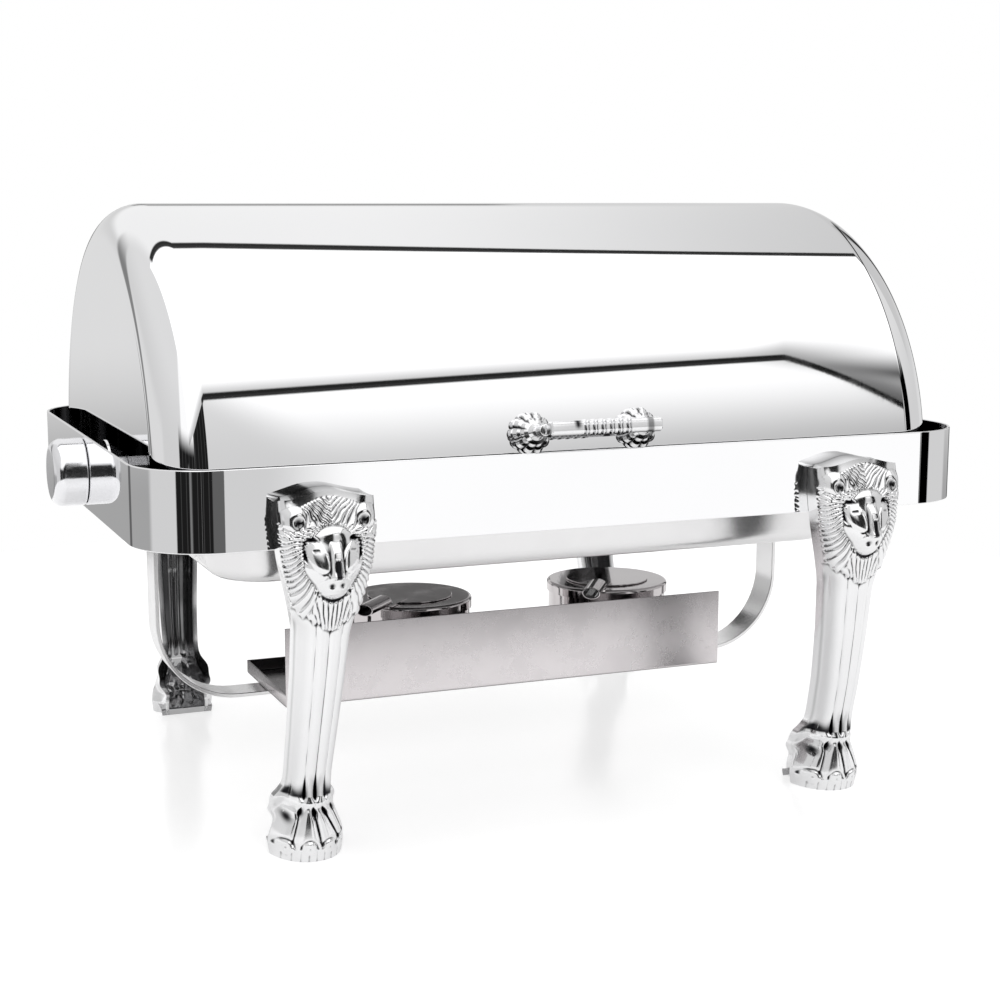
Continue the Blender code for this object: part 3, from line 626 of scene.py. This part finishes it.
def make_legs():
    """Four castings: the front of each is sculpted, and the back is an open channel."""
    columns, coarse = 241, 6
    grid, painted_shade = leg_front(columns)
    heights = leg_rows()
    half, back, front = leg_measures(heights)
    channel_low, channel_high = 5, 242
    open_share = step(heights, channel_low, channel_low + 4) * step(channel_high - heights, 0, 2)
    shrink = (half - LEG_WALL) / half
    inner = grid[:, ::coarse].copy()
    deep = (front - back - LEG_WALL * 1.3) / (front - back)
    inner[..., 0] = np.clip(inner[..., 0], -half[:, None], half[:, None]) * shrink[:, None]
    base = -inner[..., 1] - back[:, None]
    base = np.minimum(base, (front - back)[:, None])
    inner[..., 1] = -back[:, None] - base * (deep * open_share)[:, None]
    inner = inner[:, ::-1]
    ring = np.concatenate([grid, inner], axis=1)
    count = ring.shape[1]
    faces = grid_faces(len(heights), count)
    faces.append(tuple(range(count)))
    top = (len(heights) - 1) * count
    spans = inner.shape[1] - 1
    for k in range(spans):
        rim = [top + c for c in range(k * coarse, (k + 1) * coarse + 1)]
        rear = top + columns + (spans - k)
        faces.append(tuple(rim + [rear - 1, rear]))
    # painted shade inside the open channel at the back
    channel_shade = (0.4 + 0.25 * step(heights, 40, 60))[:, None] * np.ones(inner.shape[:2])
    darkness = np.concatenate([painted_shade, channel_shade], axis=1).ravel()
    mirrored = np.array([-1, 1, 1])
    for end, end_sign in ENDS.items():
        for side, sign in SIDES.items():
            facing = sign if end_sign < 0 else -sign
            points = splayed(ring) if facing > 0 else splayed(ring * mirrored) * mirrored
            if end_sign > 0:
                points = points * np.array([-1, -1, 1])
            points = points.reshape(-1, 3)
            name = "%s_%s_leg" % (end, side)
            piece(name + "_cast", (points, faces), CAST, "stand", [name], crease=65,
                  shade=shade_by_place(points, darkness, 2))


# ---- handle -------------------------------------------------------------------------------------

# degrees above the pivot, then millimetres from the lid to the bar and from the middle to a post
HANDLE_ANGLE = 11
HANDLE_REACH = 34
POST_X = 40


def on_lid_line(shell):
    """Move a shell made about the +Z axis at the origin to stand off the lid on the handle's line."""
    points, faces = turned(shell, "X", 90 - HANDLE_ANGLE)
    angle = math.radians(HANDLE_ANGLE)
    foot = [0, -LID_RADIUS * math.cos(angle), PIVOT_Z + LID_RADIUS * math.sin(angle)]
    return points + np.array(foot), faces


def make_handle():
    """A squared bar with ring grooves, on two posts that grow out of scalloped rosettes."""
    make_handle_bar()
    make_handle_posts()


def make_handle_bar():
    radius, half, power = 4.9, 41, 3.4
    rings, pitch = 6, 6.2

    def squared(turn, height):
        """Scale of a round bar's radius that makes it nearly square."""
        return (np.abs(np.cos(turn)) ** power + np.abs(np.sin(turn)) ** power) ** (-1 / power)

    bar = [(0, -half), (radius - 1, -half), (radius, -half + 1), (radius, -25), (radius, -22)]
    for i in range(rings):
        middle = (i - (rings - 1) / 2) * pitch
        bar += [(radius, middle - 2.2), (radius - 1.3, middle - 1.4), (radius - 1.3, middle - 0.8),
                (radius + 0.5, middle - 0.4), (radius + 0.5, middle + 0.4), (radius - 1.3, middle + 0.8),
                (radius - 1.3, middle + 1.4), (radius, middle + 2.2)]
    bar += [(radius, x) for x in (28.5, 30.5, 33.5, 35)]
    bar += [(radius, half - 1), (radius - 1, half), (0, half)]
    shell = lathe(bar, "X", (1, 0, HANDLE_REACH), 64, squared)

    def dim(points):
        """Painted dark reflections just outside the rings and near the right end, and painted shade
        underneath.
        """
        x, y, z = points.T
        centre = z.mean()
        around = bell((x + 21) / 2.4) * step(z, centre - 2, centre + 3) + bell((x - 33) / 2)
        return np.clip(0.95 * around + 0.5 * step(centre - z, 2.5, 4.5) + 0.08, 0, 1)

    piece("handle_bar_turned", on_lid_line(shell), CAST, "lid", ["handle_bar"],
          shade=dim)


def make_handle_posts():
    lobes, rosette_top, post_radius = 10, 11, 7

    def ridges(turn):
        return np.abs(np.cos(lobes / 2 * turn)) ** 0.6

    def petals(turn, height):
        """Scale of the radius that cuts the rosette into lobes."""
        return 1 + 0.13 * (ridges(turn) - 0.6) * float(step(rosette_top - height, 0, 3))

    for side, sign in SIDES.items():
        profile = [(0, 0.6), (12.4, 0.6), (13.8, 2), (13.6, 5), (11.8, 7.6), (9.4, 8.6), (9.8, 9.6),
                   (8.6, 11.5), (6.0, 13), (4.4, 16), (3.8, 20), (4.0, 28.4), (0, 28.6)]
        post, faces = lathe(rounded(profile, 0.6, 3), "Z", (0, 0, 0), 120, petals)
        turn = np.arctan2(post[:, 1], post[:, 0])
        # painted shade in the valleys between the rosette's lobes
        valley = (1 - ridges(turn)) * (np.hypot(post[:, 0], post[:, 1]) > post_radius)
        post[:, 0] += sign * POST_X
        placed, faces = on_lid_line((post, faces))
        piece(side + "_handle_post_cast", (placed, faces), CAST, "lid",
              [side + "_handle_post"], shade=shade_by_place(placed, valley, 1))


# ---- pans, hanger, tray and burners -------------------------------------------------------------

def pan_shell(node, floor_half, body_half):
    """A drawn pan with a flat rim. floor_half and body_half are its half sizes at the floor and the rim."""
    corner, fillet, sheet = 40, 12, 0.8
    low, high = span(node)
    rim = high[:2]
    bottom, top = low[2], high[2]

    def ring(half, radius, z):
        points = rounded_rectangle(half[0], half[1], radius, 10)[0]
        return np.insert(points, 2, z, axis=1)

    def wall(inset, base):
        """Rings from the floor up the fillet to the foot of the wall."""
        rings = []
        for angle in np.radians(np.linspace(0, 90, 8)):
            pull = (fillet - inset) * (1 - math.sin(angle)) + inset
            z = base + (fillet - inset) * (1 - math.cos(angle))
            rings.append(ring(np.array(floor_half) - pull, corner - pull, z))
        return rings

    body = np.array(body_half, float)
    rings = wall(0, bottom)
    rings += [ring(body - 0.2, corner + 4, top - sheet - 2), ring(body + 1.6, corner + 5, top - sheet)]
    rings += [ring(rim - 0.8, corner + 15.4, top - sheet), ring(rim, corner + 16, top - sheet * 0.6)]
    rings += [ring(rim, corner + 16, top - sheet * 0.3), ring(rim - 0.6, corner + 15.6, top)]
    rings += [ring(body + 1.4, corner + 5, top), ring(body - sheet - 0.2, corner + 3, top - 2)]
    rings += wall(sheet, bottom + sheet)[::-1]
    return loft(rings)


def make_pans():
    """The water pan, which shows under the band, and the food pan that stands in it."""
    bottom = span("water_pan")[0][2]

    def painted_underside_shade(points):
        """Painted shade on the flat underside, darkest over the left burner."""
        return (points[:, 2] < bottom + 0.3) * np.interp(points[:, 0], (-60, 60), (0.92, 0.35))

    piece("water_pan_drawn", pan_shell("water_pan", (246, 147), (258, 155.5)), SATIN, "water_pan",
          ["water_pan"], shade=painted_underside_shade)
    piece("food_pan_drawn", pan_shell("food_pan", (240, 137.5), (250, 147.5)), SATIN, "food_pan",
          ["food_pan"])


def make_strap():
    """The bent flat bar, from one stud down under the tray and up to the other."""
    low, high = span("hanger_strap")
    thick = 3
    top_x, side_x, bend = high[0] - thick / 2, 261, 60
    jog_high, jog_low, base = PIVOT_Z - 13, PIVOT_Z - 31, low[2] + thick / 2
    half = [(top_x, high[2]), (top_x, jog_high), (side_x, jog_low), (side_x, base)]
    path = half + [(-x, z) for x, z in reversed(half)]
    line = rounded(path, [0, 6, 6, bend, bend, 6, 6, 0], 16)
    shell = extruded(thickened(line, thick), low[1], high[1])
    piece("hanger_strap_bent", shell, SATIN, "stand", ["hanger_strap"], bevel=0.5)


def make_tray():
    """The folded tray: a tall front panel, and low lips at the back and the two sides."""
    low, high = span("burner_tray")
    sheet = 1.0
    front, back, base, top = low[1] + sheet / 2, high[1] - sheet / 2, low[2] + sheet / 2, high[2]
    lip = 10
    path = rounded([(front, top), (front, base), (back, base), (back, low[2] + lip)], [0, 1.6, 1.6, 0], 5)
    shells = [extruded(thickened(path, sheet), low[0], high[0], "X")]
    for sign in SIDES.values():
        x = sorted((sign * high[0], sign * (high[0] - sheet)))
        outline = [(front, low[2] + 0.8), (back, low[2] + 0.8), (back, low[2] + lip), (front, low[2] + lip)]
        shells.append(extruded(rounded(outline, [0, 0, 2, 2], 4, closed=True), *x, "X"))

    def painted_tray_shade(points):
        """Painted shade along the panel's two edges and inside the tray."""
        x, y, z = points.T
        edges = (z < low[2] + 0.9) | (z > top - 0.2)
        inner = (y > front + 0.3) & (y < back - 0.3) & (z > low[2] + 0.8) & (z < top - 1)
        return 0.5 * edges + 0.72 * (inner & ~edges)

    piece("burner_tray_folded", shells, SHEET, "stand", ["burner_tray"], bevel=0.3,
          shade=painted_tray_shade)


def make_burners():
    """Two spun cups in the tray, each with its cover and damper."""
    for side in SIDES:
        low, high = span(side + "_burner_cup")
        at = ((low[0] + high[0]) / 2, (low[1] + high[1]) / 2, 0)
        radius, base, top = (high[0] - low[0]) / 2, low[2], high[2]
        outer = [(0, base), (radius, base), (radius, top - 1)]
        inner = [(radius - 1, top - 1), (radius - 1, base + 1), (0, base + 1)]
        cup = np.concatenate([rounded(outer, [0, 3, 0], 6), rounded(inner, [0, 2, 0], 6)])
        piece(side + "_burner_cup_spun", lathe(cup, "Z", at, 96), BURNER, "stand",
              [side + "_burner_cup"], bevel=0.3)
        low, high = span(side + "_burner_cover")
        radius, bottom, top, hole = (high[0] - low[0]) / 2, low[2], high[2], 20
        outer = [(hole, top - 1), (hole, top - 0.2), (hole + 2, top), (radius, top), (radius, bottom)]
        inner = [(radius - 1, bottom), (radius - 1, top - 1)]
        cover = np.concatenate([rounded(outer, [0, 0.3, 0, 2.5, 0], 6), np.array(inner)])
        piece(side + "_burner_cover_spun", lathe(cover, "Z", at, 96), BURNER, side + "_cover",
              [side + "_burner_cover"])
        make_damper(side, at)


def make_damper(side, centre):
    """The disc over the cover's hole, with a rolled handle that points away from the cup."""
    pivot = joint_place(side + "_damper_swing")
    low = span(side + "_damper")[0][2]
    sheet, disc, tube_start, tube_end, tube = 1.0, 33, 50, 85, 5
    neck_start, neck_half = 20, 6.5
    away = pivot[:2] - np.array(centre[:2])
    apart = np.linalg.norm(away)
    heading = math.degrees(math.atan2(away[1], away[0]))
    shells = [lathe(rounded([(0, low), (disc, low), (disc, low + sheet), (0, low + sheet)], 0.4, 3), "Z",
                    (0, 0, 0), 96)]
    neck_end = apart + 14
    neck = [(neck_start, -neck_half), (neck_start, neck_half), (neck_end, neck_half), (neck_end, -neck_half)]
    neck = rounded(neck, 0.5, 3, closed=True)
    shells.append(extruded(neck, low + 0.02, low + sheet + 0.4, "Z"))
    ring = [(tube - sheet, tube_start), (tube, tube_start), (tube, tube_end), (tube - sheet, tube_end)]
    points, faces = lathe(rounded(ring, 0.3, 3, closed=True), "X", (0, 0, 0), 64)
    hollow = np.hypot(points[:, 1], points[:, 2]) < tube - 0.6
    shells.append((points * (1, 1.4, 0.92) + (0, 0, low + tube), faces))
    placed = []
    for shell in shells:
        points, faces = turned(shell, "Z", heading)
        placed.append((points + np.array([centre[0], centre[1], 0]), faces))
    # painted shade inside the rolled tube
    bore = placed[-1][0][hollow]
    piece(side + "_damper_folded", placed, BURNER, side + "_damper", [side + "_damper"],
          shade=shade_by_place(bore, np.ones(len(bore)), 1))


# ---- pieces that stay as the frame has them -----------------------------------------------------

def dress_cad_nodes():
    """Materials for the brackets and fasteners, which keep their CAD shapes."""
    for name, node in frame["nodes"].items():
        if node.hide_render:
            continue
        is_bracket = name.endswith("_bracket")
        node.data.materials.clear()
        node.data.materials.append(SATIN if is_bracket else PLATED)


# ---- stage --------------------------------------------------------------------------------------

def make_floor():
    """A round white sheet about three times as wide as the object. The white studio shows past it.

    Its glow is a little stronger for the camera than for the reflections in the steel.
    """
    radius = 1.0
    glow, glow_seen = 0.42, 0.62
    material = bpy.data.materials.new("floor_white")
    g = Graph(material)
    grain = g.noise(60.0, 3.0)
    shine = g.math("MULTIPLY_ADD", grain, 0.04, 0.16)
    shader = g.node("BsdfPrincipled", {"Base Color": (0.62, 0.62, 0.62, 1), "Roughness": shine})
    shader.inputs["Emission Color"].default_value = (1, 1, 1, 1)
    seen = g.node("LightPath").outputs["Is Camera Ray"]
    g.tree.links.new(g.blend(seen, glow, glow_seen), shader.inputs["Emission Strength"])
    g.surface(shader.outputs[0])
    mesh = bpy.data.meshes.new("floor")
    ring = arc((0, 0), radius, 0, 360, 96)[:-1]
    mesh.from_pydata([(x, y, 0) for x, y in ring], [], [tuple(range(len(ring)))])
    mesh.materials.append(material)
    floor = bpy.data.objects.new("floor", mesh)
    bpy.context.scene.collection.objects.link(floor)


def light_studio():
    """A light tent: a white overhead panel with dark edges, grey walls, and dark gaps in front.

    It is laid out by the direction of a ray. azimuth turns from the front towards -X, tilt goes from the
    front over the top to the back, and rise is the height above the horizon, all in degrees.
    """
    world = bpy.data.worlds.new("studio")
    bpy.context.scene.world = world
    g = Graph(world)
    direction = g.node("TexCoord").outputs["Generated"]
    parts = g.node("SeparateXYZ", {0: direction}).outputs
    x, y, z = parts[0], parts[1], parts[2]
    forward, left = g.math("MULTIPLY", y, -1.0), g.math("MULTIPLY", x, -1.0)
    degree = 180 / math.pi
    tilt = g.math("MULTIPLY", g.math("ARCTAN2", z, forward), degree)
    azimuth = g.math("MULTIPLY", g.math("ARCTAN2", left, forward), degree)
    rise = g.math("MULTIPLY", g.math("ARCSINE", z), degree)

    def among(value, low, high, soft):
        """1 between low and high, with soft edges."""
        inside = g.ramp(value, low - soft, low + soft)
        return g.math("MULTIPLY", inside, g.ramp(value, high - soft, high + soft, 1.0, 0.0))

    def both(a, b):
        return g.math("MULTIPLY", a, b)

    def any_of(*values):
        return functools.reduce(lambda a, b: g.math("MAXIMUM", a, b), values)

    # edges of the overhead panel: the front one rises to the right and then drops, the back one falls
    past = g.math("MAXIMUM", g.math("SUBTRACT", x, 0.524), 0.0)
    drop = both(past, g.math("MULTIPLY_ADD", past, 3400.0, 350.0))
    front_edge = g.math("SUBTRACT", g.math("MULTIPLY_ADD", x, 27.0, 30.2), drop)
    back_edge = g.math("MINIMUM", g.math("MULTIPLY_ADD", x, -39.0, 124.8), 115.8)
    above = g.math("SUBTRACT", tilt, front_edge)
    beyond = g.math("SUBTRACT", tilt, back_edge)

    # side walls, then the wall behind: its lower and upper part, and two dark openings in it
    tone = g.ramp(rise, 5.0, 40.0, 0.66, 0.76)
    low_back = both(g.ramp(forward, -0.25, -0.1, 1.0, 0.0), g.ramp(rise, 3.0, 12.0, 1.0, 0.0))
    tone = g.blend(low_back, tone, g.ramp(rise, -9.0, -4.0, 0.38, 0.74))
    upper_back = both(g.ramp(beyond, -0.3, 0.3), both(g.ramp(rise, 12.0, 20.0), g.ramp(x, -0.5, -0.3)))
    tone = g.blend(upper_back, tone, g.ramp(x, 0.3, 0.62, 0.92, 0.60))
    outline = both(among(azimuth, -178.0, -151.0, 2.0), among(rise, -32.0, 3.0, 2.0))
    tone = g.blend(outline, tone, 0.16)
    door = both(among(azimuth, -172.0, -156.5, 0.8), among(rise, 10.5, 14.0, 0.6))
    tone = g.blend(door, tone, 0.15)

    # bright part of the front wall, and a glow at the left of the camera
    floor_light = g.ramp(rise, -1.5, 2.5, 1.0, 0.0)
    front_tone = g.ramp(rise, 2.0, 33.0, g.ramp(x, 0.3, 0.62, 0.66, 0.50), 1.12)
    front_tone = g.blend(floor_light, front_tone, 1.05)
    front = both(among(azimuth, -39.0, -16.6, 1.6), g.ramp(above, -0.3, 0.3, 1.0, 0.0))
    tone = g.blend(front, tone, front_tone)
    left_glow = both(among(azimuth, 21.0, 50.0, 2.0), g.ramp(rise, 7.0, 12.0))
    tone = g.blend(left_glow, tone, 1.05)

    # overhead panel, greyer at its near right corner
    fade = g.ramp(x, 0.50, 0.61, 9.0, 44.0)
    panel_tone = g.ramp(above, 0.0, fade, g.ramp(x, 0.48, 0.6, 0.6, 0.05), 1.3)
    panel = both(g.ramp(above, -0.3, 0.3), g.ramp(beyond, -0.3, 0.3, 1.0, 0.0))
    panel = both(panel, among(x, -0.5, 0.64, 0.006))
    tone = g.blend(panel, tone, panel_tone)

    # dark gaps beside the camera and at the right, with faint stripes
    wide = both(among(azimuth, -11.8, 20.5, 0.6), g.ramp(above, -1.0, 0.0, 1.0, 0.0))
    low = both(among(azimuth, 20.0, 57.0, 1.0), g.ramp(rise, 10.0, 20.0, 1.0, 0.0))
    right = both(among(azimuth, -56.0, -39.6, 1.0), g.ramp(rise, 24.0, 36.0, 1.0, 0.0))
    stripes = g.ramp(g.math("SINE", g.math("MULTIPLY", azimuth, 0.8)), 0.8, 1.0, 0.012, 0.05)
    brown = both(g.ramp(azimuth, 4.0, 6.0, 0.12, 0.0), g.ramp(rise, 0.0, 6.0, 1.0, 0.0))
    stripes = both(any_of(stripes, brown), g.ramp(azimuth, -30.0, -20.0))
    slit = both(among(azimuth, 34.0, 37.0, 0.8), g.ramp(rise, 4.0, 8.0, 1.0, 0.0))
    tone = g.blend(any_of(wide, low, right), tone, stripes)
    tone = g.blend(slit, tone, 0.2)

    # thin black lines along the panel's edges and the wall joints
    right_end = g.ramp(x, 0.62, 0.64, 1.0, 0.0)
    back_line = both(g.line(beyond, 0.0, g.ramp(x, 0.2, 0.5, 3.0, 1.7)), right_end)
    back_line = both(back_line, g.ramp(x, -0.45, -0.40))
    front_line = both(g.line(above, 0.0, 2.0), both(g.ramp(x, 0.12, 0.14), right_end))
    side_line = both(g.line(x, 0.645, 0.02), g.ramp(rise, 10.0, 30.0))
    far_line = both(g.line(azimuth, -130.0, 5.0), g.ramp(rise, 22.0, 40.0, 1.0, 0.0))
    near_line = both(g.line(azimuth, 153.0, 6.0), g.ramp(rise, 8.0, 30.0, 0.7, 0.0))
    lines = any_of(back_line, front_line, side_line, far_line, near_line)
    tone = both(tone, g.math("MULTIPLY_ADD", lines, -0.97, 1.0))

    seen = g.node("LightPath").outputs["Is Camera Ray"]
    strength = g.blend(seen, tone, 1.0)
    background = g.node("Background", {"Color": (1, 1, 1, 1), "Strength": strength})
    out = g.node("OutputWorld")
    g.tree.links.new(background.outputs[0], out.inputs["Surface"])


def place_camera():
    """Low and to the left of the front, a little above the lid."""
    place = Vector((-524, -1292, 422))
    azimuth, elevation, roll = math.radians(-21.12), math.radians(9.18), math.radians(-0.13)
    data = bpy.data.cameras.new("camera")
    data.lens = 64.5
    data.shift_x = 0.05
    camera = bpy.data.objects.new("camera", data)
    back = Vector((math.sin(azimuth) * math.cos(elevation), -math.cos(azimuth) * math.cos(elevation),
                   math.sin(elevation)))
    camera.location = place * MM
    camera.rotation_euler = (-back).to_track_quat("-Z", "Y").to_euler()
    camera.rotation_euler.rotate_axis("Z", roll)
    bpy.context.scene.collection.objects.link(camera)
    bpy.context.scene.camera = camera


bpy.context.scene.view_settings.view_transform = "Standard"
place_camera()
light_studio()
make_floor()
make_band()
make_lid()
make_knobs()
make_legs()
make_handle()
make_pans()
make_strap()
make_tray()
make_burners()
dress_cad_nodes()
